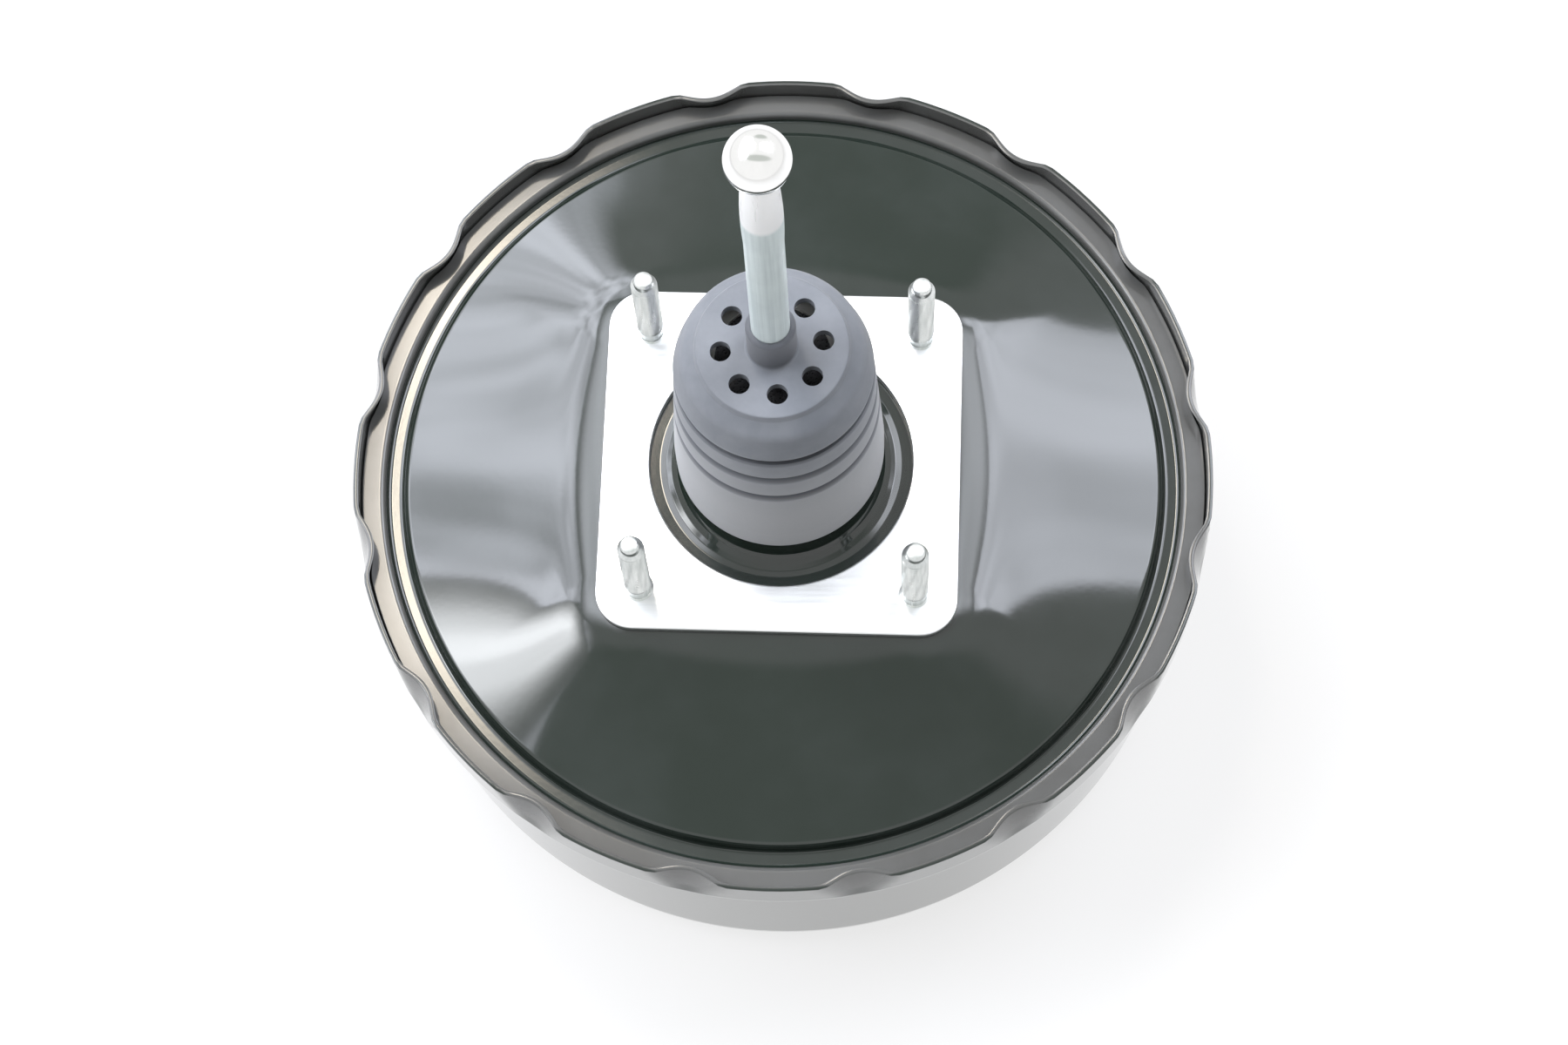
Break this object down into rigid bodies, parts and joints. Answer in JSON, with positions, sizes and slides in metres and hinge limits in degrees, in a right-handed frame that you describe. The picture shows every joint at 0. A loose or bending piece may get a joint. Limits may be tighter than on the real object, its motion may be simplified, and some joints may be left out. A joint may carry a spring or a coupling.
{
  "type": "brake booster",
  "caption": "Round vacuum brake booster with a crimped two-shell housing, a square stud plate, a rubber dust boot and a ball-ended input rod.",
  "frame": {"origin": "centre of the four rear studs on the outer face of the rear mounting plate, on the booster's axis", "axes": "+Z along the booster's axis towards the brake pedal; X and Y along the edges of the square mounting plate, +Y towards the check valve"},
  "size_m": [0.262, 0.2688, 0.3318],
  "materials": {
    "black_enamel": "gloss black stoving enamel on pressed steel",
    "zinc_plate": "bright zinc plate, fine rolling grain",
    "stud_steel": "zinc plated studs",
    "plain_steel": "pressed steel",
    "spring_steel": "oiled spring wire",
    "rod_steel": "blue-grey zinc plate on a turned rod",
    "ball_chrome": "mirror polish",
    "plunger_brass": "turned",
    "black_rubber": "matt",
    "boot_rubber": "matt grey moulded rubber",
    "bearing_plastic": "moulded",
    "hub_plastic": "off-white moulded phenolic",
    "black_plastic": "moulded",
    "filter_foam": "open foam and felt"
  },
  "bodies": {
    "housing": {"front_shell": "black_enamel", "rear_shell": "black_enamel", "rear_mounting_plate": "zinc_plate", "rear_studs": "stud_steel", "front_reinforcement_plate": "plain_steel", "master_cylinder_studs": "stud_steel", "front_seal": "black_rubber", "neck_bearing": "bearing_plastic", "neck_seal": "black_rubber", "seal_retainer": "plain_steel", "dust_boot": "boot_rubber", "diaphragm": "black_rubber", "main_return_spring": "spring_steel", "check_valve_grommet": "black_rubber", "check_valve_body": "black_plastic", "check_valve_cap": "black_plastic", "check_valve_spring": "spring_steel"},
    "check_valve_disc": {"check_valve_disc": "black_rubber"},
    "power_piston": {"valve_body": "hub_plastic", "diaphragm_plate": "plain_steel", "reaction_disc": "black_rubber", "output_rod": "rod_steel", "output_rod_screw": "rod_steel", "output_rod_retainer": "plain_steel", "retaining_key": "plain_steel", "air_filter": "filter_foam", "filter_silencer": "filter_foam", "filter_retainer": "hub_plastic", "poppet_valve": "black_rubber", "poppet_retainer": "plain_steel", "poppet_spring": "spring_steel", "rod_return_spring": "spring_steel"},
    "valve_plunger": {"valve_plunger": "plunger_brass"},
    "input_rod": {"input_rod": "rod_steel", "pedal_ball": "ball_chrome", "rod_spring_seat": "plain_steel"}
  },
  "joints": [
    {"name": "power_stroke", "type": "slide", "parent": "housing", "child": "power_piston", "axis": [0, 0, -1], "range_m": [0, 0.032], "stiffness_N_per_m": 3200, "springref_m": -0.035, "deforming": ["main_return_spring", "diaphragm", "dust_boot"]},
    {"name": "valve_travel", "type": "slide", "parent": "power_piston", "child": "valve_plunger", "axis": [0, 0, -1], "range_m": [0, 0.0014], "stiffness_N_per_m": 4000, "springref_m": -0.008, "deforming": ["rod_return_spring"]},
    {"name": "rod_swing", "type": "hinge", "parent": "valve_plunger", "child": "input_rod", "pos_m": [0, 0, 0.017], "axis": [1, 0, 0], "range_deg": [-2, 2], "stiffness_Nm_per_rad": 4},
    {"name": "check_valve_lift", "type": "slide", "parent": "housing", "child": "check_valve_disc", "axis": [0, 0, -1], "range_m": [0, 0.002], "stiffness_N_per_m": 60, "springref_m": -0.003, "deforming": ["check_valve_spring"]}
  ]
}
